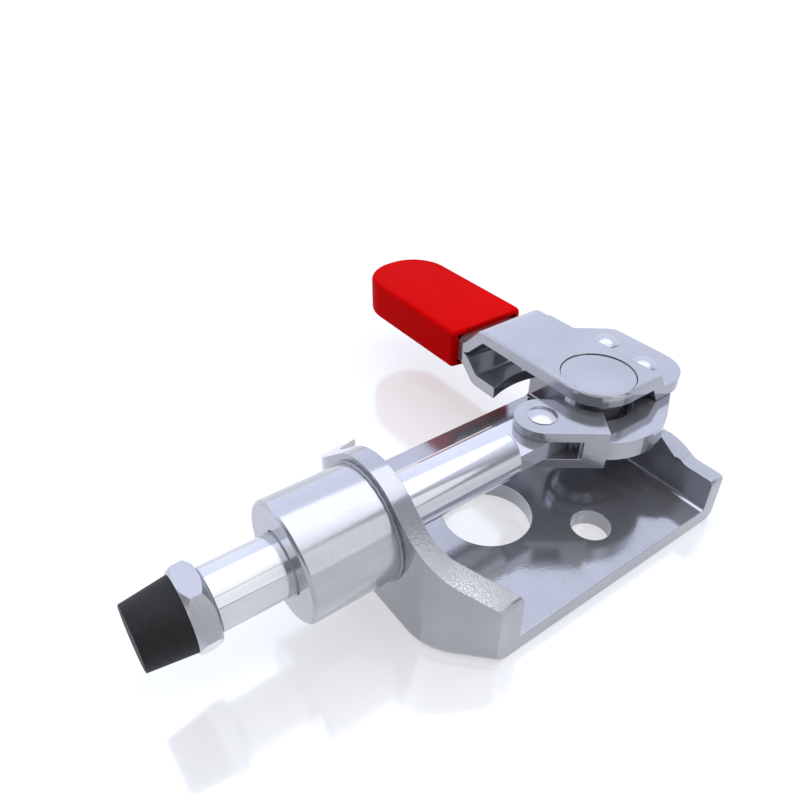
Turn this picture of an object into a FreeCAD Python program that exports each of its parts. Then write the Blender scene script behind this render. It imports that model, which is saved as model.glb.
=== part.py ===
import FreeCAD, Part
import math
import os
import re
from types import SimpleNamespace

# Push-pull toggle clamp. Frame: +X along the plunger towards the rubber tip, +Z up from the
# base plate's underside, origin in the middle of the large mounting hole.

doc = FreeCAD.newDocument("toggle_clamp")
vec = FreeCAD.Vector

sheet = doc.addObject("Spreadsheet::Sheet", "sizes")
driving = [
    # base stamping
    ("base_sheet", 2.5), ("base_front", 20.0), ("base_rear", 27.5), ("base_half", 17.6),
    ("axis_height", 12.7), ("hump_radius", 8.6), ("wing_height", 9.2), ("wing_corner", 1.3),
    ("sweep_from", 11.5), ("sweep_radius", 8.4), ("fold_radius", 1.4), ("inner_bend", 0.7),
    ("rear_wing", 7.8), ("rear_low", 12.9), ("rear_high", 8.0), ("rear_curve", 2.6),
    ("deck_top", 11.1), ("deck_half", 6.4), ("deck_round", 5.0),
    ("big_hole", 12.5), ("small_hole", 5.5), ("small_back", 10.0), ("small_side", 10.2),
    # guide bush and plunger
    ("rod_dia", 7.5), ("bush_dia", 15.0), ("bush_front", 31.3), ("spigot_dia", 11.0), ("bead", 0.6),
    ("run_gap", 0.05), ("rod_step", 6.8), ("rod_front", 40.2), ("tang_thick", 2.8),
    ("tang_half", 3.3), ("tang_beyond", 3.4), ("tang_corner", 1.4), ("bore_deep", 14.0),
    # spindle bolt and rubber tip
    ("hex_flats", 9.0), ("hex_thick", 2.6), ("screw_dia", 4.2), ("screw_long", 12.0),
    ("tip_wide", 8.7), ("tip_narrow", 7.4), ("tip_long", 5.2), ("stem_dia", 3.0), ("stem_long", 2.6),
    # linkage
    ("crank", 10.4), ("link_long", 20.9), ("pivot_back", 19.3), ("link_sheet", 1.5),
    ("fork_gap", 2.9), ("nose_radius", 3.9), ("eye_radius", 4.6), ("arc_outer", 10.2),
    ("slot_deep", 6.2), ("slot_bend", 3.6), ("slot_end", 0.3), ("web_in", 1.4), ("web_side", 5.9),
    ("web_step", 0.4), ("arc_inner", 5.4), ("nick_dia", 0.9),
    ("rivet_dia", 3.2), ("rivet_head", 4.6), ("head_rise", 0.6),
    # handle
    ("leaf_sheet", 2.0), ("plate_low", 14.25), ("strip_low", 16.5), ("coin_rim", 0.3),
    ("strip_left", 26.0), ("near_end", 5.7), ("near_round", 6.0), ("joggle_run", 1.2),
    ("lug_beyond", 4.7), ("lug_round", 5.2), ("lug_back", 9.4), ("lug_blend", 2.5), ("lug_from", 16.0),
    ("jaw_low", 7.95), ("jaw_reach", 15.6), ("tang_start", 21.8), ("handle_end", 50.2),
    ("handle_round", 4.0), ("bend_outer", 2.6), ("bend_inner", 0.6), ("edge_soft", 0.35),
    ("stop_in", 4.2), ("stop_up", 1.8), ("stop_dia", 2.9),
    ("coin_dia", 10.6), ("coin_deep", 0.4), ("coin_thick", 0.8), ("coin_edge", 0.25),
    ("pin_dia", 6.0), ("pin_tail", 1.0), ("washer_rim", 1.8), ("washer_thick", 1.0), ("spacer_wall", 1.0),
    ("grip_start", 23.6), ("grip_end", 51.8), ("grip_wall", 1.3), ("grip_half", 3.4),
    ("grip_round", 5.2), ("grip_edge", 1.0),
]
for row, (alias, value) in enumerate(driving, 1):
    sheet.set(f"A{row}", alias)
    sheet.set(f"B{row}", str(value))
    sheet.setAlias(f"B{row}", alias)
doc.recompute()
dim = SimpleNamespace(**{alias: float(sheet.get(alias)) for alias, value in driving})


def bind(obj, **formulas):
    """Tie properties of an object to formulas over the sheet's cells."""
    for prop, formula in formulas.items():
        obj.setExpression(prop, re.sub(r"([a-z]\w*)", r"sizes.\1", formula))
    return obj


def turned(base, direction):
    """Placement of a round solid that starts at base and runs along direction."""
    return FreeCAD.Placement(vec(*base), FreeCAD.Rotation(vec(0, 0, 1), vec(*direction)))


def cylinder(name, radius, height, base, direction=(0, 0, 1)):
    obj = doc.addObject("Part::Cylinder", name)
    bind(obj, Radius=radius, Height=height)
    obj.Placement = turned(base, direction)
    return obj


def cone(name, radius1, radius2, height, base, direction=(1, 0, 0)):
    obj = doc.addObject("Part::Cone", name)
    bind(obj, Radius1=radius1, Radius2=radius2, Height=height)
    obj.Placement = turned(base, direction)
    return obj


def fuse(name, *shapes):
    obj = doc.addObject("Part::MultiFuse", name)
    obj.Shapes = list(shapes)
    obj.Refine = True
    return obj


def cut(name, base, tool):
    obj = doc.addObject("Part::Cut", name)
    obj.Base = base
    obj.Tool = tool
    obj.Refine = True
    return obj


def common(name, *shapes):
    obj = doc.addObject("Part::MultiCommon", name)
    obj.Shapes = list(shapes)
    obj.Refine = True
    return obj


def line(first, last):
    return Part.LineSegment(vec(*first, 0), vec(*last, 0))


def on_circle(centre, radius, degrees):
    angle = math.radians(degrees)
    return (centre[0] + radius * math.cos(angle), centre[1] + radius * math.sin(angle))


def arc_about(centre, radius, start, end):
    """Arc from the start angle to the end angle, either way round."""
    spots = [on_circle(centre, radius, angle) for angle in (start, (start + end) / 2, end)]
    return Part.Arc(*[vec(*spot, 0) for spot in spots])


def bent(corners):
    """Closed outline of straight runs; each corner is (x, y) or (x, y, rounding radius)."""
    spots = [vec(corner[0], corner[1], 0) for corner in corners]
    turns = []
    for index, corner in enumerate(corners):
        back = (spots[index - 1] - spots[index]).normalize()
        ahead = (spots[(index + 1) % len(spots)] - spots[index]).normalize()
        radius = corner[2] if len(corner) > 2 else 0
        half_angle = back.getAngle(ahead) / 2
        reach = radius / math.tan(half_angle)
        inwards = (back + ahead).normalize() * (radius / math.sin(half_angle) - radius)
        turns.append((spots[index] + back * reach, spots[index] + inwards, spots[index] + ahead * reach))
    edges = []
    for (start, middle, end), (onward, _, _) in zip(turns, turns[1:] + turns[:1]):
        if (end - start).Length > 1e-7:
            edges.append(Part.Arc(start, middle, end))
        if (onward - end).Length > 1e-7:
            edges.append(Part.LineSegment(end, onward))
    return edges


planes = {
    "XY": FreeCAD.Rotation(),
    "YZ": FreeCAD.Rotation(vec(0, 1, 0), vec(0, 0, 1), vec(1, 0, 0), "ZXY"),
    "XZ": FreeCAD.Rotation(vec(1, 0, 0), 90),
}
across = {"XY": vec(0, 0, 1), "YZ": vec(1, 0, 0), "XZ": vec(0, 1, 0)}


def slab(name, plane, offset, edges, thickness):
    """A sketch on a plane across Z, X or Y, raised along that axis by a formula's length."""
    outline = doc.addObject("Sketcher::SketchObject", f"{name}_outline")
    outline.Placement = FreeCAD.Placement(across[plane] * offset, planes[plane])
    outline.addGeometry(edges, False)
    obj = doc.addObject("Part::Extrusion", name)
    obj.Base = outline
    obj.DirMode = "Custom"
    obj.Dir = across[plane]
    obj.Solid = True
    bind(obj, LengthFwd=thickness)
    return obj


def eased(kind, name, obj, amount, test):
    """Fillet or chamfer of the edges whose ends and middle all pass the test."""
    doc.recompute()
    chosen = []
    for number, edge in enumerate(obj.Shape.Edges, 1):
        first, last = edge.FirstParameter, edge.LastParameter
        spots = [edge.valueAt(first + (last - first) * share) for share in (0.02, 0.5, 0.98)]
        if all(test(spot) for spot in spots):
            chosen.append((number, amount, amount))
    result = doc.addObject(f"Part::{kind}", name)
    result.Base = obj
    result.Edges = chosen
    return result


def head(name, centre, way):
    """Low rivet head, narrower at its top, that rises from the plane at its centre."""
    return cone(name, "rivet_head / 2", "rivet_head / 2 - head_rise", "head_rise", centre, (0, 0, way))


parts = {}


def keep(label, obj):
    """Remember a finished piece under the name of its node."""
    parts[label] = obj
    obj.Label = label


# How close counts as the same place, and how far a cutting tool runs past what it cuts
near = 0.02
over = 1.0
axis_z = dim.axis_height
half = dim.base_half
front = dim.base_front
rear = -dim.base_rear
pivot = (-dim.pivot_back, 0.0)
eye = (pivot[0] - dim.crank, 0.0)
nose = (eye[0] + dim.link_long, 0.0)
forwards = (1, 0, 0)

# Base stamping: flat plate, front wall bowed into swept wings, rear wall folded over into a deck
# that carries the main pivot. All of it is one sheet.
tip_x = front - (half - dim.sweep_from)
skin = dim.base_sheet * math.tan(math.radians(22.5))
inner_side = dim.sweep_from - skin
inner_tip = tip_x - dim.base_sheet * math.sqrt(2)
inner_round = dim.sweep_radius - dim.base_sheet
band = bent([
    (tip_x, -half), (front, -dim.sweep_from, dim.sweep_radius), (front, dim.sweep_from, dim.sweep_radius),
    (tip_x, half), (inner_tip, half), (front - dim.base_sheet, inner_side, inner_round),
    (front - dim.base_sheet, -inner_side, inner_round), (inner_tip, -half)])
front_band = slab("front_band", "XY", 0, band, "axis_height + hump_radius + base_sheet")
wing_slope = math.atan2(dim.wing_height - axis_z, half) + math.acos(
    dim.hump_radius / math.hypot(half, dim.wing_height - axis_z))
hump_peak = axis_z + dim.hump_radius / math.sin(wing_slope)
front_face = slab("front_face", "YZ", 0, bent([
    (half, 0), (half, dim.wing_height, dim.wing_corner), (0, hump_peak, dim.hump_radius),
    (-half, dim.wing_height, dim.wing_corner), (-half, 0)]), "base_front + base_sheet")
front_wall = common("front_wall", front_band, front_face)

deck_low = dim.deck_top - dim.base_sheet
deck_end = pivot[0] + dim.deck_round
wall_in = rear + dim.base_sheet
plate_from = wall_in + dim.inner_bend
strip_side = slab("strip_side", "XZ", -half, bent([
    (plate_from, 0), (rear, 0, dim.fold_radius), (rear, dim.deck_top, dim.base_sheet + dim.inner_bend),
    (deck_end, dim.deck_top), (deck_end, deck_low), (wall_in, deck_low, dim.inner_bend),
    (wall_in, dim.base_sheet, dim.inner_bend - near), (plate_from, dim.base_sheet)]), "2 * base_half")
rear_face = slab("rear_face", "YZ", rear, bent([
    (half, 0), (half, dim.rear_wing, dim.fold_radius / 2), (dim.rear_low, dim.rear_wing, dim.rear_curve),
    (dim.rear_high, dim.deck_top, dim.rear_curve), (-dim.rear_high, dim.deck_top, dim.rear_curve),
    (-dim.rear_low, dim.rear_wing, dim.rear_curve), (-half, dim.rear_wing, dim.fold_radius / 2),
    (-half, 0)]), "base_sheet + inner_bend")
deck_plan = slab("deck_plan", "XY", deck_low - dim.inner_bend, [
    line((rear, -dim.deck_half), (rear, dim.deck_half)),
    line((rear, dim.deck_half), (pivot[0], dim.deck_round)),
    arc_about(pivot, dim.deck_round, 90, -90),
    line((pivot[0], -dim.deck_round), (rear, -dim.deck_half))], "base_sheet + inner_bend")
rear_wall = common("rear_wall", strip_side, fuse("rear_extent", rear_face, deck_plan))
plate = slab("plate", "XY", 0, bent([
    (plate_from, -half), (tip_x, -half), (front, -dim.sweep_from, dim.sweep_radius),
    (front, dim.sweep_from, dim.sweep_radius), (tip_x, half), (plate_from, half)]), "base_sheet")
base_sharp = fuse("base_sharp", plate, front_wall, rear_wall)
base_fold = eased("Fillet", "base_fold", base_sharp, dim.fold_radius,
                  lambda spot: spot.z < near and spot.x > tip_x - near and abs(spot.y) < half - near)
bores = [
    cylinder("big_bore", "big_hole / 2", "base_sheet + 2", (0, 0, -over)),
    cylinder("spigot_bore", "spigot_dia / 2", "base_sheet + 2",
             (front - dim.base_sheet - over, 0, axis_z), forwards),
    cylinder("pin_bore", "pin_dia / 2", "base_sheet + 2", (*pivot, deck_low - over)),
]
for label, side in (("near", 1), ("far", -1)):
    place = (-dim.small_back, side * dim.small_side, -over)
    bores.append(cylinder(f"{label}_screw_hole", "small_hole / 2", "base_sheet + 2", place))
keep("base_stamping", cut("base_holes", base_fold, fuse("base_bores", *bores)))

# Guide bush: turned, with a spigot staked in the front wall, and the small weld bead at its foot
bush_body = cylinder("bush_body", "bush_dia / 2", "bush_front - base_front", (front, 0, axis_z), forwards)
bush_spigot = cylinder("bush_spigot", "spigot_dia / 2", "base_sheet + 1",
                       (front - dim.base_sheet, 0, axis_z), forwards)
bush_bore = cylinder("bush_bore", "rod_dia / 2 + run_gap", "bush_front - base_front + base_sheet + 2",
                     (front - dim.base_sheet - over, 0, axis_z), forwards)
bush_cut = cut("bush_cut", fuse("bush_solid", bush_body, bush_spigot), bush_bore)
keep("guide_bush", eased("Chamfer", "bush_edges", bush_cut, dim.edge_soft,
                         lambda spot: spot.x > dim.bush_front - near))
bead_cone = cone("bead_cone", "bush_dia / 2 + bead", "bush_dia / 2 + bead / 10", "bead", (front, 0, axis_z))
bead_room = cylinder("bead_room", "bush_dia / 2", "bead + 2", (front - over, 0, axis_z), forwards)
keep("bush_weld", cut("bead_ring", bead_cone, bead_room))

# Plunger: ground rod, its rear end milled to a flat tang that the link's fork straddles
rod_back = nose[0] + dim.rod_step
rod_turned = cylinder("rod_turned", "rod_dia / 2", "rod_front + pivot_back + crank - link_long - rod_step",
                      (rod_back, 0, axis_z), forwards)
rod_body = eased("Chamfer", "rod_body", rod_turned, dim.edge_soft,
                 lambda spot: abs(spot.x - rod_back) < near or abs(spot.x - dim.rod_front) < near)
tang_x = nose[0] - dim.tang_beyond
tang_root = rod_back + over
tang = slab("tang", "XY", axis_z - dim.tang_thick / 2, bent([
    (tang_root, -dim.tang_half), (tang_root, dim.tang_half), (tang_x, dim.tang_half, dim.tang_corner),
    (tang_x, -dim.tang_half, dim.tang_corner)]), "tang_thick")
rod_bores = fuse(
    "rod_bores",
    cylinder("screw_bore", "screw_dia / 2", "bore_deep + 1",
             (dim.rod_front - dim.bore_deep, 0, axis_z), forwards),
    cylinder("nose_bore", "rivet_dia / 2 + run_gap", "tang_thick + 2",
             (*nose, axis_z - dim.tang_thick / 2 - over)))
keep("plunger_rod", cut("rod_cut", fuse("rod_solid", rod_body, tang), rod_bores))

# Spindle bolt: hexagon head chamfered on both faces, shank screwed into the rod, stem for the tip
hexagon = [on_circle((0, axis_z), dim.hex_flats / math.sqrt(3), 60 * corner) for corner in range(6)]
hex_prism = slab("hex_prism", "YZ", dim.rod_front, bent(hexagon), "hex_thick")
hex_at = (dim.rod_front, 0, axis_z)
bevel_front = cone("bevel_front", "hex_flats / 2 + hex_thick", "hex_flats / 2", "hex_thick", hex_at)
bevel_back = cone("bevel_back", "hex_flats / 2", "hex_flats / 2 + hex_thick", "hex_thick", hex_at)
hex_head = common("hex_head", hex_prism, bevel_front, bevel_back)
screw = cylinder("screw", "screw_dia / 2", "screw_long + 1",
                 (dim.rod_front - dim.screw_long, 0, axis_z), forwards)
tip_from = dim.rod_front + dim.hex_thick
stem = cylinder("stem", "stem_dia / 2", "stem_long + 1", (tip_from - over, 0, axis_z), forwards)
keep("spindle_bolt", fuse("spindle", hex_head, screw, stem))

# Rubber tip: a short cone moulded over the bolt's stem
tip_cone = cone("tip_cone", "tip_wide / 2", "tip_narrow / 2", "tip_long", (tip_from, 0, axis_z))
tip_socket = cylinder("tip_socket", "stem_dia / 2", "stem_long + 1", (tip_from - over, 0, axis_z), forwards)
tip_cut = cut("tip_cut", tip_cone, tip_socket)
keep("rubber_tip", eased("Chamfer", "tip_edge", tip_cut, dim.edge_soft,
                         lambda spot: spot.x > tip_from + dim.tip_long - near))

# Link: one folded sheet. The C-shaped arm is concentric with the main pivot and lies two sheets
# thick; past the step it opens into the fork whose two leaves straddle the plunger's tang.
lean_eye = math.degrees(math.asin((dim.arc_outer - dim.eye_radius) / dim.crank))
lean_nose = math.degrees(math.asin((dim.arc_outer - dim.nose_radius) / (nose[0] - pivot[0])))
step_angle = 90 - lean_nose
eye_angle = 90 + lean_eye
eye_mouth, arc_mouth = 335, 172
nose_mouth, fork_mouth = -128, -8
arm = slab("arm", "XY", axis_z - dim.link_sheet, [
    arc_about(pivot, dim.arc_outer, step_angle, eye_angle),
    line(on_circle(pivot, dim.arc_outer, eye_angle), on_circle(eye, dim.eye_radius, eye_angle)),
    arc_about(eye, dim.eye_radius, eye_angle, eye_mouth),
    line(on_circle(eye, dim.eye_radius, eye_mouth), on_circle(pivot, dim.arc_inner, arc_mouth)),
    arc_about(pivot, dim.arc_inner, arc_mouth, step_angle),
    line(on_circle(pivot, dim.arc_inner, step_angle), on_circle(pivot, dim.arc_outer, step_angle))],
    "2 * link_sheet")
fork_low = axis_z - dim.fork_gap / 2 - dim.link_sheet
fork_high = axis_z + dim.fork_gap / 2 + dim.link_sheet
fork = slab("fork", "XY", fork_low, [
    line(on_circle(pivot, dim.arc_outer, step_angle), on_circle(nose, dim.nose_radius, step_angle)),
    arc_about(nose, dim.nose_radius, step_angle, nose_mouth),
    line(on_circle(nose, dim.nose_radius, nose_mouth), on_circle(pivot, dim.arc_inner, fork_mouth)),
    arc_about(pivot, dim.arc_inner, fork_mouth, step_angle),
    line(on_circle(pivot, dim.arc_inner, step_angle), on_circle(pivot, dim.arc_outer, step_angle))],
    "fork_gap + 2 * link_sheet")
slot_low = axis_z - dim.fork_gap / 2
web_out = (nose[0] - dim.web_in, dim.web_side)
slot_back = nose[0] - dim.slot_deep
clear_x, clear_y = nose[0] + 2 * dim.nose_radius, 2 * dim.nose_radius
slot = slab("slot", "XY", slot_low, bent([
    (slot_back, -clear_y), (clear_x, -clear_y), (clear_x, clear_y), (web_out[0] + dim.web_step, clear_y),
    web_out, (nose[0] - dim.slot_bend, dim.slot_bend), (slot_back, dim.slot_end)]), "fork_gap")
link_cuts = fuse(
    "link_cuts", slot,
    cylinder("nick", "nick_dia / 2", "fork_gap", (*web_out, slot_low)),
    cylinder("nose_hole", "rivet_dia / 2", "fork_gap + 2 * link_sheet + 2", (*nose, fork_low - over)),
    cylinder("eye_hole", "rivet_dia / 2 + run_gap", "2 * link_sheet + 2",
             (*eye, axis_z - dim.link_sheet - over)))
keep("link", cut("link_cut", fuse("link_solid", arm, fork), link_cuts))

# Rivet ends of the fork: a low head and the length of shank that fills one leaf
for label, plane_z, way in (("fork_rivet_upper", fork_high, 1), ("fork_rivet_lower", fork_low, -1)):
    shank = cylinder(f"{label}_shank", "rivet_dia / 2", "link_sheet", (*nose, plane_z), (0, 0, -way))
    keep(label, fuse(f"{label}_solid", shank, head(f"{label}_head", (*nose, plane_z), way)))

# Handle, upper stamping: tang, slope, raised strip, and the rivet plate joggled down beside it
right, left = pivot[0] + dim.coin_dia / 2 + dim.coin_rim, -dim.strip_left
lug_x = eye[0] - dim.lug_beyond
leaf = dim.leaf_sheet
strip_high = dim.strip_low + leaf
plate_high = dim.plate_low + leaf
tang_y = -dim.tang_start
end_y = -dim.handle_end
lug_y = -dim.lug_from
sharp45 = leaf * math.tan(math.radians(22.5))


def bent_leaf(name, from_y, sheet_z, way):
    """One handle leaf: flat at sheet_z from from_y, sloped at 45 degrees to the tang on the mid plane."""
    outer_z = sheet_z + way * leaf
    rise = abs(sheet_z - axis_z)
    side = slab(f"{name}_side", "YZ", left, bent([
        (from_y, outer_z), (tang_y + rise - sharp45, outer_z, dim.bend_outer),
        (tang_y - sharp45, axis_z + way * leaf, dim.bend_inner), (end_y, axis_z + way * leaf),
        (end_y, axis_z), (tang_y, axis_z, dim.bend_outer), (tang_y + rise, sheet_z, dim.bend_inner),
        (from_y, sheet_z)]), "strip_left - pivot_back + coin_dia / 2 + coin_rim")
    plan = slab(f"{name}_plan", "XY", 0, bent([
        (right, from_y), (left, from_y), (left, end_y, dim.handle_round),
        (right, end_y, dim.handle_round)]), "strip_low + 2 * leaf_sheet")
    return common(name, side, plan)


upper_leaf = bent_leaf("upper_leaf", lug_y, dim.strip_low, 1)
joggle_lean = math.atan2(dim.strip_low - dim.plate_low, dim.joggle_run)
joggle_shift = leaf * math.tan(joggle_lean / 2)
joggle = slab("joggle", "XZ", lug_y, bent([
    (right, dim.strip_low), (right, strip_high), (left, strip_high), (left - dim.joggle_run, plate_high),
    (lug_x, plate_high), (lug_x, dim.plate_low),
    (left - dim.joggle_run + joggle_shift, dim.plate_low), (left + joggle_shift, dim.strip_low)]),
    "lug_from + near_end")
lug_plan = slab("lug_plan", "XY", 0, bent([
    (right, lug_y), (right, dim.near_end, dim.near_round), (lug_x, dim.near_end, dim.lug_round),
    (lug_x, -dim.lug_back, dim.lug_blend), (left, lug_y)]), "strip_low + 2 * leaf_sheet")
upper_solid = fuse("upper_solid", upper_leaf, common("lug", joggle, lug_plan))
coin_floor = strip_high - dim.coin_deep - dim.coin_thick
stop_at = (lug_x + dim.stop_in, dim.stop_up - dim.lug_back)
under_plate = dim.plate_low - over
upper_cuts = fuse(
    "upper_cuts",
    cylinder("coin_recess", "coin_dia / 2 + run_gap", "leaf_sheet", (*pivot, coin_floor)),
    cylinder("pin_hole", "pin_dia / 2 + run_gap", "leaf_sheet + 2", (*pivot, dim.strip_low - over)),
    cylinder("eye_rivet_hole", "rivet_dia / 2", "leaf_sheet + 2", (*eye, under_plate)),
    cylinder("stop_hole", "stop_dia / 2", "leaf_sheet + 2", (*stop_at, under_plate)))
upper_soft = eased(
    "Chamfer", "upper_soft", upper_solid, dim.edge_soft, lambda spot: spot.z > strip_high - near and
    spot.x > left + near and (spot.y > lug_y + near or abs(spot.x - right) < near))
keep("handle_upper", cut("upper_cut", upper_soft, upper_cuts))

# Handle, lower stamping: tang and a short jaw that swings over the base's rear wings
lower_leaf = bent_leaf("lower_leaf", 0, dim.jaw_low + leaf, -1)
jaw_room = cylinder("jaw_room", "jaw_reach", "axis_height", (*pivot, 0))
lower = cut("lower_cut", lower_leaf, jaw_room)
keep("handle_lower", lower)

# Rivets of the handle's rivet plate. The first carries the link's arm.
arm_low = axis_z - dim.link_sheet
for label, spot, width, low, shank_formula in (
        ("arm_rivet", eye, "rivet_dia / 2", arm_low, "plate_low + leaf_sheet - axis_height + link_sheet"),
        ("stop_rivet", stop_at, "stop_dia / 2", dim.plate_low, "leaf_sheet")):
    shank = cylinder(f"{label}_shank", width, shank_formula, (*spot, low))
    keep(label, fuse(f"{label}_solid", shank, head(f"{label}_head", (*spot, plate_high), 1)))

# Main pivot: sunk head in the handle, shank through spacer and deck, washer and riveted tail below
coin_base = coin_floor + dim.run_gap
washer_low = deck_low - dim.washer_thick
pin_shank = cylinder(
    "pin_shank", "pin_dia / 2",
    "strip_low + leaf_sheet - coin_deep - coin_thick + run_gap - deck_top + base_sheet + washer_thick",
    (*pivot, washer_low))
pin_disc = cylinder("pin_disc", "coin_dia / 2", "coin_thick - run_gap", (*pivot, coin_base))
pin_head = eased("Chamfer", "pin_head", pin_disc, dim.coin_edge,
                 lambda spot: spot.z > strip_high - dim.coin_deep - near)
pin_tail = cone("pin_tail_cone", "pin_dia / 2 + pin_tail", "pin_dia / 2", "pin_tail",
                (*pivot, washer_low), (0, 0, -1))
keep("pivot_pin", fuse("pin_solid", pin_shank, pin_head, pin_tail))
washer = cylinder("washer_disc", "pin_dia / 2 + washer_rim", "washer_thick", (*pivot, washer_low))
washer_hole = cylinder("washer_hole", "pin_dia / 2", "washer_thick + 2", (*pivot, washer_low - over))
keep("pivot_washer", cut("washer_ring", washer, washer_hole))
spacer = cylinder("spacer_disc", "pin_dia / 2 + spacer_wall", "strip_low - deck_top - run_gap",
                  (*pivot, dim.deck_top))
spacer_hole = cylinder("spacer_hole", "pin_dia / 2", "strip_low - deck_top + 2",
                       (*pivot, dim.deck_top - over))
keep("pivot_spacer", cut("spacer_ring", spacer, spacer_hole))

# Grip: dipped vinyl sleeve over both tangs
grip_left, grip_right = left - dim.grip_wall, right + dim.grip_wall
grip_from, grip_to = -dim.grip_start, -dim.grip_end
grip_block = slab("grip_block", "XY", axis_z - dim.grip_half, bent([
    (grip_right, grip_from), (grip_left, grip_from), (grip_left, grip_to, dim.grip_round),
    (grip_right, grip_to, dim.grip_round)]), "2 * grip_half")
grip_soft = eased(
    "Chamfer", "grip_soft", grip_block, dim.grip_edge,
    lambda spot: spot.y < grip_from - near and abs(abs(spot.z - axis_z) - dim.grip_half) < near)
keep("grip_sleeve", cut("grip_hollow", cut("grip_over_upper", grip_soft, upper_leaf), lower_leaf))

doc.recompute()
for obj in doc.Objects:
    if "Invalid" in obj.State or "Error" in obj.State:
        raise RuntimeError(f"{obj.Name} did not build")
os.makedirs("parts", exist_ok=True)
for label, obj in parts.items():
    shape = obj.Shape
    if shape.isNull() or not shape.isValid() or len(shape.Solids) != 1:
        raise RuntimeError(f"{label} is not one sound solid")
    shape.exportStep(f"parts/{label}.step")
    room = shape.BoundBox
    print(f"{label}: {shape.Volume:.1f} mm3, x {room.XMin:.2f} to {room.XMax:.2f}, "
          f"y {room.YMin:.2f} to {room.YMax:.2f}, z {room.ZMin:.2f} to {room.ZMax:.2f}")
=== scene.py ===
import bpy
import math
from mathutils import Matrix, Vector


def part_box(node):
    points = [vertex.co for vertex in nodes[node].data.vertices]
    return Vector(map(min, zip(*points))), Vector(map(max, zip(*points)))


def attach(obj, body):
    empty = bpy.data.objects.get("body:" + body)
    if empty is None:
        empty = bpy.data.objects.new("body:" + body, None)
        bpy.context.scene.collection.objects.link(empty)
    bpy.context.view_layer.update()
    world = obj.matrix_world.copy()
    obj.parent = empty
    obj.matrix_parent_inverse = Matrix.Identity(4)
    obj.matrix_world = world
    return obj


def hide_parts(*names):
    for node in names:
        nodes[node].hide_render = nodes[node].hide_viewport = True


print("clamp: loading the frame")
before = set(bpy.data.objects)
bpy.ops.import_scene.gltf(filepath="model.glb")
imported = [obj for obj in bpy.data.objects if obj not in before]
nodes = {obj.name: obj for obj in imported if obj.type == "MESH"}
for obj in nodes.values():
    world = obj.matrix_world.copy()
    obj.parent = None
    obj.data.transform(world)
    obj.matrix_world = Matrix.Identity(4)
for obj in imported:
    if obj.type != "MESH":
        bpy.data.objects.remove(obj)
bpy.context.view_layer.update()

# how near counts as the same place, and how squarely a face looks along an axis
tiny = 0.00001
squareOn = 0.99


# picking, as with the mouse: nothing stays selected from the step before

def deselectAll():
    if bpy.context.object and bpy.context.object.mode != "OBJECT":
        bpy.ops.object.mode_set(mode="OBJECT")
    bpy.ops.object.select_all(action="DESELECT")


def pickOnly(piece):
    deselectAll()
    piece.select_set(True)
    bpy.context.view_layer.objects.active = piece


def clearPicked(piece, kind):
    pickOnly(piece)
    bpy.ops.object.mode_set(mode="EDIT")
    bpy.ops.mesh.select_mode(type=kind)
    bpy.ops.mesh.select_all(action="DESELECT")
    bpy.ops.object.mode_set(mode="OBJECT")


def pickFaces(piece, test):
    clearPicked(piece, "FACE")
    for face in piece.data.polygons:
        face.select = test(face.center, face.normal)
    bpy.ops.object.mode_set(mode="EDIT")


def pickEdges(piece, test):
    clearPicked(piece, "EDGE")
    corners = piece.data.vertices
    for edge in piece.data.edges:
        edge.select = test(corners[edge.vertices[0]].co, corners[edge.vertices[1]].co)
    bpy.ops.object.mode_set(mode="EDIT")


def smoothOff(piece, degrees=35):
    pickOnly(piece)
    bpy.ops.object.shade_smooth_by_angle(angle=math.radians(degrees))


def dress(piece, body, finish):
    piece.data.materials.clear()
    piece.data.materials.append(finish)
    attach(piece, body)


# shader groups: each gives masks from 0 to 1 that finishes can share

def newGroup(name, inputs, outputs):
    group = bpy.data.node_groups.new(name, "ShaderNodeTree")
    for label, value in inputs.items():
        socket = group.interface.new_socket(label, in_out="INPUT", socket_type="NodeSocketFloat")
        socket.default_value = value
    for label in outputs:
        group.interface.new_socket(label, in_out="OUTPUT", socket_type="NodeSocketFloat")
    return group, group.nodes.new("NodeGroupInput"), group.nodes.new("NodeGroupOutput")


def joinUp(tree, source, target):
    tree.links.new(source, target)


def addNode(tree, kind, **settings):
    node = tree.nodes.new(kind)
    for key, value in settings.items():
        if key in node.inputs:
            node.inputs[key].default_value = value
        else:
            setattr(node, key, value)
    return node


def spread(tree, source, low, high, toLow=0.0, toHigh=1.0):
    span = addNode(tree, "ShaderNodeMapRange")
    for label, value in (("From Min", low), ("From Max", high), ("To Min", toLow), ("To Max", toHigh)):
        span.inputs[label].default_value = value
    joinUp(tree, source, span.inputs["Value"])
    return span.outputs["Result"]


def makeCloudGroup():
    # soft clouds with some fine grain in them, and the fine grain by itself
    group, inside, outside = newGroup(
        "platingClouds", {"Cloud Size": 90.0, "Grain Size": 2600.0, "Grain Share": 0.25}, ["Mask", "Grain"])
    place = addNode(group, "ShaderNodeTexCoord")
    cloud = addNode(group, "ShaderNodeTexNoise", Detail=3.0, Roughness=0.55)
    grain = addNode(group, "ShaderNodeTexNoise", Detail=2.0, Roughness=0.7)
    blend = addNode(group, "ShaderNodeMix", data_type="FLOAT")
    joinUp(group, place.outputs["Object"], cloud.inputs["Vector"])
    joinUp(group, place.outputs["Object"], grain.inputs["Vector"])
    joinUp(group, inside.outputs["Cloud Size"], cloud.inputs["Scale"])
    joinUp(group, inside.outputs["Grain Size"], grain.inputs["Scale"])
    joinUp(group, inside.outputs["Grain Share"], blend.inputs[0])
    joinUp(group, cloud.outputs["Fac"], blend.inputs[2])
    joinUp(group, grain.outputs["Fac"], blend.inputs[3])
    joinUp(group, blend.outputs[0], outside.inputs["Mask"])
    joinUp(group, grain.outputs["Fac"], outside.inputs["Grain"])
    return group


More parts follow.
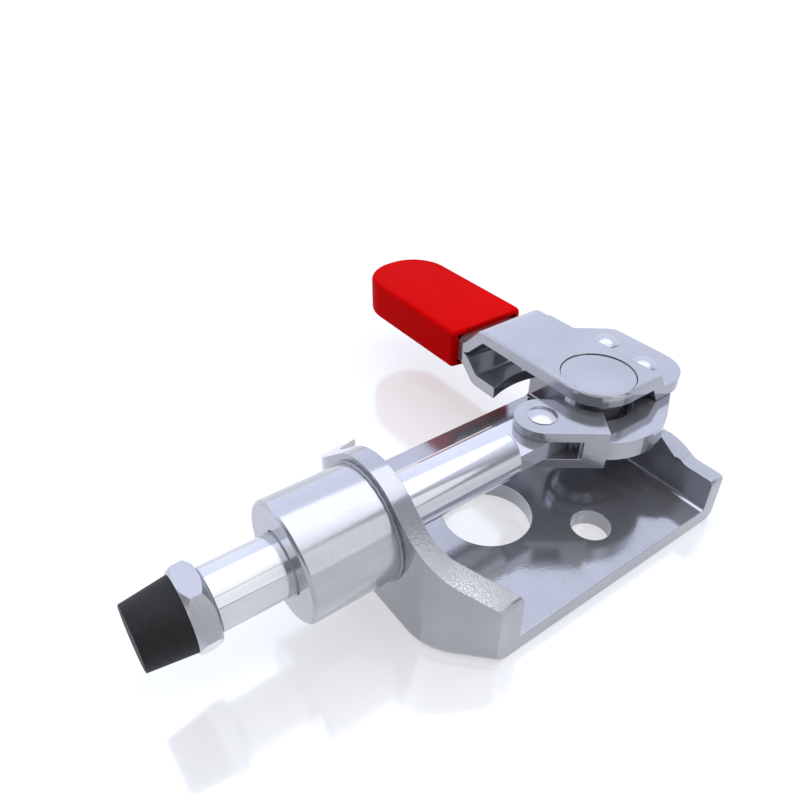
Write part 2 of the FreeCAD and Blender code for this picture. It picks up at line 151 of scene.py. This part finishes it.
def makeRingGroup():
    # fine rings round the plunger's axis, as a lathe leaves them
    group, inside, outside = newGroup("latheRings", {"Ring Pitch": 5200.0}, ["Rings"])
    place = addNode(group, "ShaderNodeTexCoord")
    along = addNode(group, "ShaderNodeSeparateXYZ")
    rings = addNode(group, "ShaderNodeTexNoise", noise_dimensions="1D", Detail=2.0)
    joinUp(group, place.outputs["Object"], along.inputs[0])
    joinUp(group, along.outputs["X"], rings.inputs["W"])
    joinUp(group, inside.outputs["Ring Pitch"], rings.inputs["Scale"])
    joinUp(group, rings.outputs["Fac"], outside.inputs["Rings"])
    return group


# a painted glint patch's fade, as shares of its radius, how far up a face must look to get painted glints,
# and the glint specks' own edge
glintShape = {"fade": (0.3, 1.0), "upward": (0.2, 0.4), "edge": (0.50, 0.62)}


def makeGlintGroup():
    # painted highlight: glint specks on the faces that look up inside one round patch, painted near-white
    # and raised as small bumps, standing in for sparkles of reflected light
    group, inside, outside = newGroup(
        "zincSpecks", {"Patch X": 0.0, "Patch Y": 0.0, "Patch Z": 0.0, "Patch Radius": 0.0056,
                       "Speck Size": 9500.0}, ["Specks"])
    place = addNode(group, "ShaderNodeTexCoord")
    centre = addNode(group, "ShaderNodeCombineXYZ")
    for axis in "XYZ":
        joinUp(group, inside.outputs[f"Patch {axis}"], centre.inputs[axis])
    away = addNode(group, "ShaderNodeVectorMath", operation="DISTANCE")
    share = addNode(group, "ShaderNodeMath", operation="DIVIDE")
    specks = addNode(group, "ShaderNodeTexNoise", Detail=1.0, Roughness=0.8)
    upward = addNode(group, "ShaderNodeSeparateXYZ")
    onTop = addNode(group, "ShaderNodeMath", operation="MULTIPLY")
    both = addNode(group, "ShaderNodeMath", operation="MULTIPLY")
    joinUp(group, place.outputs["Object"], away.inputs[0])
    joinUp(group, centre.outputs[0], away.inputs[1])
    joinUp(group, away.outputs["Value"], share.inputs[0])
    joinUp(group, inside.outputs["Patch Radius"], share.inputs[1])
    joinUp(group, place.outputs["Object"], specks.inputs["Vector"])
    joinUp(group, inside.outputs["Speck Size"], specks.inputs["Scale"])
    joinUp(group, place.outputs["Normal"], upward.inputs[0])
    joinUp(group, spread(group, share.outputs[0], *glintShape["fade"], 1.0, 0.0), onTop.inputs[0])
    joinUp(group, spread(group, upward.outputs["Z"], *glintShape["upward"]), onTop.inputs[1])
    joinUp(group, onTop.outputs[0], both.inputs[0])
    joinUp(group, spread(group, specks.outputs["Fac"], *glintShape["edge"]), both.inputs[1])
    joinUp(group, both.outputs[0], outside.inputs["Specks"])
    return group


cloudGroup = makeCloudGroup()
ringGroup = makeRingGroup()
glintGroup = makeGlintGroup()


# the parts of a cloud mask between which colour and roughness change, and the depth of a bump
cloudSpan = {"tint": (0.35, 0.65), "rough": (0.3, 0.7)}
bumpDepth = 0.0002


def newMaterial(name):
    finish = bpy.data.materials.new(name)
    finish.use_nodes = True
    return finish, finish.node_tree, finish.node_tree.nodes["Principled BSDF"]


def addBump(tree, shader, height, strength):
    bump = addNode(tree, "ShaderNodeBump", Strength=strength, Distance=bumpDepth)
    joinUp(tree, height, bump.inputs["Height"])
    joinUp(tree, bump.outputs["Normal"], shader.inputs["Normal"])


def addClouds(tree, look):
    clouds = addNode(tree, "ShaderNodeGroup", node_tree=cloudGroup)
    clouds.inputs["Cloud Size"].default_value = look["cloud"]
    clouds.inputs["Grain Size"].default_value = look["grain"]
    clouds.inputs["Grain Share"].default_value = look["share"]
    return clouds


def tintBetween(tree, shader, mask, dark, light):
    tint = addNode(tree, "ShaderNodeMix", data_type="RGBA")
    tint.inputs[6].default_value = dark
    tint.inputs[7].default_value = light
    joinUp(tree, spread(tree, mask, *cloudSpan["tint"]), tint.inputs[0])
    joinUp(tree, tint.outputs[2], shader.inputs["Base Color"])
    return tint.outputs[2]


# the near-white speck colour here is painted highlight: glints on up-facing faces of the near wing
zincLook = {
    "light": (0.41, 0.415, 0.445, 1), "dark": (0.35, 0.355, 0.385, 1), "smooth": 0.07, "rough": 0.14,
    "metal": 0.78, "cloud": 90.0, "grain": 2600.0, "share": 0.25, "bump": 0.04, "rings": 0.0,
    "specks": {}, "speckRise": 3.0, "glintTint": (0.90, 0.90, 0.92, 1),
}
# the patch of painted highlight glints on top of the front wall's near wing
wingGlintPatch = {
    "Patch X": 0.0170, "Patch Y": 0.0150, "Patch Z": 0.0105, "Patch Radius": 0.0056, "Speck Size": 9500.0,
}


def makeMetal(name, **changes):
    look = {**zincLook, **changes}
    finish, tree, shader = newMaterial(name)
    clouds = addClouds(tree, look)
    tint = tintBetween(tree, shader, clouds.outputs["Mask"], look["dark"], look["light"])
    dull = spread(tree, clouds.outputs["Mask"], *cloudSpan["rough"], look["rough"], look["smooth"])
    joinUp(tree, dull, shader.inputs["Roughness"])
    height = clouds.outputs["Grain"]
    if look["rings"]:
        turned = addNode(tree, "ShaderNodeGroup", node_tree=ringGroup)
        turned.inputs["Ring Pitch"].default_value = look["rings"]
        height = turned.outputs["Rings"]
    if look["specks"]:
        specks = addNode(tree, "ShaderNodeGroup", node_tree=glintGroup)
        for label, value in look["specks"].items():
            specks.inputs[label].default_value = value
        raised = addNode(tree, "ShaderNodeMath", operation="MULTIPLY_ADD")
        raised.inputs[1].default_value = look["speckRise"]
        joinUp(tree, specks.outputs["Specks"], raised.inputs[0])
        joinUp(tree, height, raised.inputs[2])
        height = raised.outputs[0]
        # paint the glint specks near-white over the zinc's colour: a painted highlight
        glintPaint = addNode(tree, "ShaderNodeMix", data_type="RGBA")
        glintPaint.inputs[7].default_value = look["glintTint"]
        joinUp(tree, specks.outputs["Specks"], glintPaint.inputs[0])
        joinUp(tree, tint, glintPaint.inputs[6])
        joinUp(tree, glintPaint.outputs[2], shader.inputs["Base Color"])
    addBump(tree, shader, height, look["bump"])
    shader.inputs["Metallic"].default_value = look["metal"]
    return finish


print("clamp: finishes")
# the zinc plate carries the near wing's patch of painted highlight glints
zincPlate = makeMetal("zincPlate", specks=wingGlintPatch)
turnedSteel = makeMetal("turnedSteel", light=(0.47, 0.475, 0.51, 1), dark=(0.41, 0.415, 0.45, 1),
                        smooth=0.12, rough=0.20, rings=5200.0, bump=0.03)
groundRod = makeMetal("groundRod", light=(0.60, 0.605, 0.64, 1), dark=(0.54, 0.545, 0.58, 1),
                      smooth=0.06, rough=0.12, rings=7000.0, bump=0.015)
rivetSteel = makeMetal("rivetSteel", light=(0.46, 0.465, 0.50, 1), dark=(0.40, 0.405, 0.44, 1),
                       smooth=0.20, rough=0.28, metal=0.9)
weldSteel = makeMetal("weldSteel", light=(0.34, 0.34, 0.37, 1), dark=(0.20, 0.20, 0.23, 1),
                      smooth=0.3, rough=0.5, bump=0.15)

vinylLook = {
    "light": (0.53, 0.0003, 0.0003, 1), "dark": (0.46, 0.0002, 0.0002, 1), "rough": 0.5, "shine": 0.01,
    "cloud": 60.0, "grain": 1500.0, "share": 0.35, "bump": 0.05,
}
rubberLook = {
    "light": (0.016, 0.016, 0.017, 1), "dark": (0.008, 0.008, 0.009, 1), "rough": 0.6, "shine": 0.22,
    "cloud": 260.0, "grain": 3200.0, "share": 0.5, "bump": 0.16,
}


def makeSoftPlastic(name, look):
    finish, tree, shader = newMaterial(name)
    clouds = addClouds(tree, look)
    tintBetween(tree, shader, clouds.outputs["Mask"], look["dark"], look["light"])
    addBump(tree, shader, clouds.outputs["Grain"], look["bump"])
    shader.inputs["Roughness"].default_value = look["rough"]
    shader.inputs["Specular IOR Level"].default_value = look["shine"]
    return finish


redVinyl = makeSoftPlastic("redVinyl", vinylLook)
blackRubber = makeSoftPlastic("blackRubber", rubberLook)

print("clamp: dressing the CAD nodes")
dressing = {
    "bush_weld": weldSteel, "pivot_spacer": turnedSteel, "pivot_washer": zincPlate, "plunger_rod": groundRod,
    "base_stamping": zincPlate, "guide_bush": turnedSteel, "pivot_pin": zincPlate, "handle_upper": zincPlate,
    "handle_lower": zincPlate, "link": zincPlate, "spindle_bolt": turnedSteel, "rubber_tip": blackRubber,
    "arm_rivet": rivetSteel, "stop_rivet": rivetSteel, "fork_rivet_upper": rivetSteel,
    "fork_rivet_lower": rivetSteel, "grip_sleeve": redVinyl,
}
for nodeName, finish in dressing.items():
    nodes[nodeName].data.materials.clear()
    nodes[nodeName].data.materials.append(finish)


# stamped and turned pieces with the small rounding that tumbling and plating leave on every edge

softEdges = {
    "baseShell": {"node": "base_stamping", "body": "base", "width": 0.00010},
    "collar": {"node": "guide_bush", "body": "base", "width": 0.00008},
    "sunkHead": {"node": "pivot_pin", "body": "base", "width": 0.00006},
    "handleTop": {"node": "handle_upper", "body": "handle", "width": 0.00008},
    "handleUnder": {"node": "handle_lower", "body": "handle", "width": 0.00010},
    "linkArm": {"node": "link", "body": "link", "width": 0.00008},
}
softening = {"merge": 0.000002, "flatWithin": 0.5, "sharpFrom": 28, "steps": 3}


def steadyFlats(piece):
    # flat faces keep one even shade up to their rounded edges
    steady = piece.modifiers.new("steadyFlats", "WEIGHTED_NORMAL")
    steady.keep_sharp = True
    bpy.ops.object.modifier_apply(modifier="steadyFlats")


def softenNode(name, piece):
    shape = bpy.data.objects.new(name, nodes[piece["node"]].data.copy())
    bpy.context.collection.objects.link(shape)
    pickOnly(shape)
    bpy.ops.mesh.customdata_custom_splitnormals_clear()
    bpy.ops.object.mode_set(mode="EDIT")
    bpy.ops.mesh.select_all(action="SELECT")
    bpy.ops.mesh.remove_doubles(threshold=softening["merge"])
    bpy.ops.mesh.dissolve_limited(angle_limit=math.radians(softening["flatWithin"]))
    bpy.ops.object.mode_set(mode="OBJECT")
    rounding = shape.modifiers.new("tumbled", "BEVEL")
    rounding.width = piece["width"]
    rounding.segments = softening["steps"]
    rounding.limit_method = "ANGLE"
    rounding.angle_limit = math.radians(softening["sharpFrom"])
    rounding.use_clamp_overlap = False
    bpy.ops.object.modifier_apply(modifier="tumbled")
    smoothOff(shape)
    steadyFlats(shape)
    dress(shape, piece["body"], dressing[piece["node"]])
    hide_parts(piece["node"])


print("clamp: softened stampings and turned pieces")
for pieceName, piece in softEdges.items():
    softenNode(pieceName, piece)


# the pivot's sunk head nearly fills its round recess and is dished a little

sunkHead = {"lift": 0.00016, "widen": 1.047, "rings": 6, "ringStep": 0.0007, "sag": 0.00005}


def dishHead():
    head = bpy.data.objects["sunkHead"]
    top = max(corner.co.z for corner in head.data.vertices)
    low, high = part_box("pivot_pin")
    middle = ((low[0] + high[0]) / 2, (low[1] + high[1]) / 2, top)
    pickFaces(head, lambda centre, normal: normal.z > squareOn and centre.z > top - tiny)
    bpy.ops.transform.translate(value=(0, 0, sunkHead["lift"]))
    bpy.ops.transform.resize(value=(sunkHead["widen"], sunkHead["widen"], 1), center_override=middle)
    for ring in range(sunkHead["rings"]):
        bpy.ops.mesh.inset(thickness=sunkHead["ringStep"])
        bpy.ops.transform.translate(value=(0, 0, -sunkHead["sag"]))
    smoothOff(head)


dishHead()


# weld bead at the collar's foot, a fine rippled roll of metal

weldSize = {"roll": 0.00028, "sink": 0.00012, "around": 120, "across": 10, "ripple": 0.00004, "smooth": 60}


def makeWeld():
    low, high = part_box("bush_weld")
    collarLow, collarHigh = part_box("guide_bush")
    middle = ((low[1] + high[1]) / 2, (low[2] + high[2]) / 2)
    deselectAll()
    bpy.ops.mesh.primitive_torus_add(
        location=(low[0] + weldSize["sink"], *middle), rotation=(0, math.pi / 2, 0),
        major_radius=(collarHigh[2] - collarLow[2]) / 2, minor_radius=weldSize["roll"],
        major_segments=weldSize["around"], minor_segments=weldSize["across"])
    weld = bpy.context.object
    weld.name = "weldRoll"
    bpy.ops.object.transform_apply(location=True, rotation=True, scale=True)
    for corner in weld.data.vertices:
        turn = math.atan2(corner.co.z - middle[1], corner.co.y - middle[0])
        corner.co.x += weldSize["ripple"] * math.sin(weldSize["around"] / 4 * turn)
    smoothOff(weld, weldSize["smooth"])
    dress(weld, "base", weldSteel)
    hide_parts("bush_weld")


print("clamp: weld")
makeWeld()


# rivets with low round heads; proud is what a head stands above the CAD node's own

rivets = {
    "forkRivetUpper": {"node": "fork_rivet_upper", "body": "link", "up": 1, "rise": 0.0006, "proud": 0.0},
    "forkRivetLower": {"node": "fork_rivet_lower", "body": "link", "up": -1, "rise": 0.0006, "proud": 0.0},
    "armRivet": {"node": "arm_rivet", "body": "handle", "up": 1, "rise": 0.0006, "proud": 0.0003},
    "stopRivet": {"node": "stop_rivet", "body": "handle", "up": 1, "rise": 0.0006, "proud": 0.0003},
}
rivetSize = {"rim": 0.00010, "width": 0.88, "shank": 0.0013, "segments": 48, "rings": 9}


def makeRivet(name, rivet):
    low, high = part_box(rivet["node"])
    middle = [(a + b) / 2 for a, b in zip(low, high)]
    radius = rivetSize["width"] * (high[0] - low[0]) / 2
    rim, up = rivetSize["rim"], rivet["up"]
    dome = rivet["rise"] + rivet["proud"] - rim
    ball = (radius ** 2 + dome ** 2) / (2 * dome)
    seat = high[2] - rivet["rise"] if up > 0 else low[2] + rivet["rise"]
    deselectAll()
    bpy.ops.mesh.primitive_cylinder_add(
        vertices=rivetSize["segments"], radius=radius, depth=rim,
        location=(middle[0], middle[1], seat + up * rim / 2))
    shape = bpy.context.object
    shape.name = name
    bpy.ops.object.transform_apply(location=True, rotation=True, scale=True)
    pickFaces(shape, lambda centre, normal: normal.z * up > squareOn)
    reach, rise = radius, 0.0
    for ring in range(1, rivetSize["rings"]):
        turn = math.asin(radius / ball) * (1 - ring / rivetSize["rings"])
        nextReach, nextRise = ball * math.sin(turn), ball * math.cos(turn) - ball + dome
        bpy.ops.mesh.extrude_region_move(TRANSFORM_OT_translate={"value": (0, 0, up * (nextRise - rise))})
        bpy.ops.transform.resize(value=(nextReach / reach, nextReach / reach, 1), center_override=middle)
        reach, rise = nextReach, nextRise
    pickFaces(shape, lambda centre, normal: normal.z * up < -squareOn)
    bpy.ops.mesh.inset(thickness=radius - rivetSize["shank"])
    length = high[2] - low[2] - rivet["rise"]
    bpy.ops.mesh.extrude_region_move(TRANSFORM_OT_translate={"value": (0, 0, -up * length)})
    bpy.ops.mesh.select_all(action="SELECT")
    bpy.ops.mesh.normals_make_consistent(inside=False)
    bpy.ops.object.mode_set(mode="OBJECT")
    smoothOff(shape)
    dress(shape, rivet["body"], rivetSteel)
    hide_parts(rivet["node"])


print("clamp: rivets")
for pieceName, piece in rivets.items():
    makeRivet(pieceName, piece)


# rubber tip: a blunt cone with a crisp, barely rounded rim and a shallow dish in its face

tipSize = {
    "rearRadius": 0.00435, "faceRadius": 0.0037, "segments": 64, "rim": 0.00010, "rimSteps": 3,
    "lip": 0.0008, "dish": 0.00008, "dishRings": 3,
}


def makeTip():
    low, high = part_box("rubber_tip")
    middle = [(a + b) / 2 for a, b in zip(low, high)]
    deselectAll()
    bpy.ops.mesh.primitive_cone_add(
        vertices=tipSize["segments"], radius1=tipSize["rearRadius"], radius2=tipSize["faceRadius"],
        depth=high[0] - low[0], location=middle, rotation=(0, math.pi / 2, 0))
    tip = bpy.context.object
    tip.name = "tipRubber"
    bpy.ops.object.transform_apply(location=True, rotation=True, scale=True)
    pickEdges(tip, lambda a, b: min(a.x, b.x) > high[0] - tiny)
    bpy.ops.mesh.bevel(offset=tipSize["rim"], segments=tipSize["rimSteps"], affect="EDGES")
    pickFaces(tip, lambda centre, normal: normal.x > squareOn and centre.x > high[0] - tiny)
    bpy.ops.mesh.inset(thickness=tipSize["lip"])
    for ring in range(tipSize["dishRings"]):
        bpy.ops.mesh.inset(thickness=tipSize["lip"] / 2)
        bpy.ops.transform.translate(value=(-tipSize["dish"] / tipSize["dishRings"], 0, 0))
    bpy.ops.object.mode_set(mode="OBJECT")
    smoothOff(tip)
    dress(tip, "plunger", blackRubber)
    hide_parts("rubber_tip")


print("clamp: rubber tip")
makeTip()


# dipped vinyl grip: a thick skin, round at its far end and soft along every edge

gripSize = {
    "corner": 0.0070, "cornerSteps": 12, "roundOver": 0.0008, "endSteps": 4, "edgeSteps": 5,
    "lip": 0.0007, "hollow": 0.0004, "mouth": 0.0003, "mouthSteps": 3, "smooth": 40,
}


def makeGrip():
    low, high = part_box("grip_sleeve")
    deselectAll()
    bpy.ops.mesh.primitive_cube_add(size=1, location=[(a + b) / 2 for a, b in zip(low, high)])
    grip = bpy.context.object
    grip.name = "gripSkin"
    grip.scale = [b - a for a, b in zip(low, high)]
    bpy.ops.object.transform_apply(location=True, rotation=True, scale=True)
    pickEdges(grip, lambda a, b: abs(a.z - b.z) > tiny and a.y < low[1] + tiny)
    bpy.ops.mesh.bevel(offset=gripSize["corner"], segments=gripSize["cornerSteps"], affect="EDGES")
    pickEdges(grip, lambda a, b: abs(a.z - b.z) > tiny and a.y > high[1] - tiny)
    bpy.ops.mesh.bevel(offset=gripSize["roundOver"], segments=gripSize["endSteps"], affect="EDGES")
    pickEdges(grip, lambda a, b: abs(a.z - b.z) < tiny and min(a.y, b.y) < high[1] - tiny
              and (abs(a.z - low[2]) < tiny or abs(a.z - high[2]) < tiny))
    bpy.ops.mesh.bevel(offset=gripSize["roundOver"], segments=gripSize["edgeSteps"], affect="EDGES")
    pickFaces(grip, lambda centre, normal: normal.y > squareOn and centre.y > high[1] - tiny)
    bpy.ops.mesh.inset(thickness=gripSize["lip"])
    bpy.ops.mesh.extrude_region_move(TRANSFORM_OT_translate={"value": (0, -gripSize["hollow"], 0)})
    pickEdges(grip, lambda a, b: a.y > high[1] - tiny and b.y > high[1] - tiny)
    bpy.ops.mesh.bevel(offset=gripSize["mouth"], segments=gripSize["mouthSteps"], affect="EDGES")
    bpy.ops.object.mode_set(mode="OBJECT")
    smoothOff(grip, gripSize["smooth"])
    steadyFlats(grip)
    dress(grip, "handle", redVinyl)
    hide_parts("grip_sleeve")


print("clamp: grip")
makeGrip()


def seesStage(tree, mirroredShare=None):
    # 1 for the camera's rays and for those that metal or glass sends on, 0 for the light on the object;
    # the share of the mirrored rays can be cut down
    ray = addNode(tree, "ShaderNodeLightPath")
    mirrored = addNode(tree, "ShaderNodeMath", operation="ADD", use_clamp=True)
    seen = addNode(tree, "ShaderNodeMath", operation="MULTIPLY_ADD", use_clamp=True)
    joinUp(tree, ray.outputs["Is Glossy Ray"], mirrored.inputs[0])
    joinUp(tree, ray.outputs["Is Transmission Ray"], mirrored.inputs[1])
    joinUp(tree, mirrored.outputs[0], seen.inputs[0])
    joinUp(tree, ray.outputs["Is Camera Ray"], seen.inputs[2])
    if mirroredShare is None:
        seen.inputs[1].default_value = 1.0
    else:
        joinUp(tree, mirroredShare, seen.inputs[1])
    return seen.outputs[0]


# pale floor: near the clamp it glows in part and takes its shadow, and further out it is plain white
floorLook = {
    "half": 0.9, "drop": 0.00005, "color": (0.66, 0.68, 0.73, 1), "rough": 0.9, "mirror": 0.18,
    "blur": 0.12, "glow": 0.58, "level": 1.14, "clear": (0.07, 0.20),
}


def makeFloor():
    deselectAll()
    bpy.ops.mesh.primitive_plane_add(size=2 * floorLook["half"], location=(0, 0, -floorLook["drop"]))
    floor = bpy.context.object
    floor.name = "paleFloor"
    finish, tree, shader = newMaterial("paleFloor")
    shader.inputs["Base Color"].default_value = floorLook["color"]
    shader.inputs["Roughness"].default_value = floorLook["rough"]
    shader.inputs["Specular IOR Level"].default_value = 0.0
    glow = addNode(tree, "ShaderNodeEmission", Strength=floorLook["level"])
    mirror = addNode(tree, "ShaderNodeBsdfGlossy")
    mirror.inputs["Roughness"].default_value = floorLook["blur"]
    place = addNode(tree, "ShaderNodeTexCoord")
    away = addNode(tree, "ShaderNodeVectorMath", operation="LENGTH")
    joinUp(tree, place.outputs["Object"], away.inputs[0])
    far = spread(tree, away.outputs["Value"], *floorLook["clear"], floorLook["glow"], 1.0)
    share = addNode(tree, "ShaderNodeMath", operation="MULTIPLY")
    joinUp(tree, far, share.inputs[0])
    joinUp(tree, seesStage(tree), share.inputs[1])
    lit = addNode(tree, "ShaderNodeMixShader")
    gloss = addNode(tree, "ShaderNodeMixShader")
    gloss.inputs[0].default_value = floorLook["mirror"]
    joinUp(tree, share.outputs[0], lit.inputs[0])
    joinUp(tree, shader.outputs[0], lit.inputs[1])
    joinUp(tree, glow.outputs[0], lit.inputs[2])
    joinUp(tree, lit.outputs[0], gloss.inputs[1])
    joinUp(tree, mirror.outputs[0], gloss.inputs[2])
    joinUp(tree, gloss.outputs[0], tree.nodes["Material Output"].inputs["Surface"])
    floor.data.materials.append(finish)


# white round the horizon and, behind the clamp, a wide bright wall; darker walls elsewhere, lighter ceiling
studioRamp = {0.0: 1.0, 0.08: 1.0, 0.16: 0.45, 0.30: 0.16, 0.6: 0.22, 0.85: 0.5, 1.0: 0.7}
studio = {"blue": 1.04, "whiteBand": (0.04, 0.10)}
studioWall = {"towards": (-0.584, -0.812, 0.0), "edge": (-0.3, 0.1), "color": (1.28, 1.36, 1.62, 1)}


def makeWorld():
    world = bpy.data.worlds.new("studio")
    bpy.context.scene.world = world
    world.use_nodes = True
    tree = world.node_tree
    back = tree.nodes["Background"]
    place = addNode(tree, "ShaderNodeTexCoord")
    height = addNode(tree, "ShaderNodeSeparateXYZ")
    ramp = addNode(tree, "ShaderNodeValToRGB")
    stops = ramp.color_ramp.elements
    stops[1].position = 1.0
    for at, shade in studioRamp.items():
        stop = stops[0] if at == 0 else stops[-1] if at == 1 else stops.new(at)
        stop.color = (shade, shade, shade * studio["blue"], 1)
    facing = addNode(tree, "ShaderNodeVectorMath", operation="DOT_PRODUCT")
    facing.inputs[1].default_value = studioWall["towards"]
    wall = addNode(tree, "ShaderNodeMix", data_type="RGBA")
    wall.inputs[7].default_value = studioWall["color"]
    white = addNode(tree, "ShaderNodeMix", data_type="RGBA")
    white.inputs[7].default_value = (1, 1, 1, 1)
    joinUp(tree, place.outputs["Generated"], height.inputs[0])
    joinUp(tree, place.outputs["Generated"], facing.inputs[0])
    joinUp(tree, height.outputs["Z"], ramp.inputs["Fac"])
    band = spread(tree, height.outputs["Z"], *studio["whiteBand"], 1.0, 0.0)
    joinUp(tree, spread(tree, facing.outputs["Value"], *studioWall["edge"]), wall.inputs[0])
    joinUp(tree, ramp.outputs["Color"], wall.inputs[6])
    joinUp(tree, wall.outputs[2], white.inputs[6])
    joinUp(tree, seesStage(tree, band), white.inputs[0])
    joinUp(tree, white.outputs[2], back.inputs["Color"])
    back.inputs["Strength"].default_value = 1.0


lampAim = (0, -0.01, 0.01)
lamps = {
    "topBox": {"place": (0.02, 0.02, 0.42), "size": 0.65, "power": 1.25},
    "rightBox": {"place": (-0.08, 0.34, 0.20), "size": 0.28, "power": 0.23},
}


def addLamps():
    for name, lamp in lamps.items():
        deselectAll()
        bpy.ops.object.light_add(type="AREA", location=lamp["place"])
        light = bpy.context.object
        light.name = name
        light.data.shape = "DISK"
        light.data.size = lamp["size"]
        light.data.energy = lamp["power"]
        towards = Vector(lampAim) - Vector(lamp["place"])
        light.rotation_euler = towards.to_track_quat("-Z", "Y").to_euler()


cameraView = {
    "place": (0.05141, 0.05062, 0.07293), "looks": (-0.4743, -0.6599, -0.5827), "lens": 31.64, "film": 36.0,
    "nearest": 0.001,
}


def addCamera():
    deselectAll()
    bpy.ops.object.camera_add(location=cameraView["place"])
    camera = bpy.context.object
    camera.rotation_euler = Vector(cameraView["looks"]).to_track_quat("-Z", "Y").to_euler()
    camera.data.lens = cameraView["lens"]
    camera.data.sensor_width = cameraView["film"]
    camera.data.clip_start = cameraView["nearest"]
    bpy.context.scene.camera = camera


print("clamp: floor, lamps and camera")
makeFloor()
makeWorld()
addLamps()
addCamera()
bpy.context.scene.view_settings.view_transform = "Standard"

print("clamp: finishing the scene")
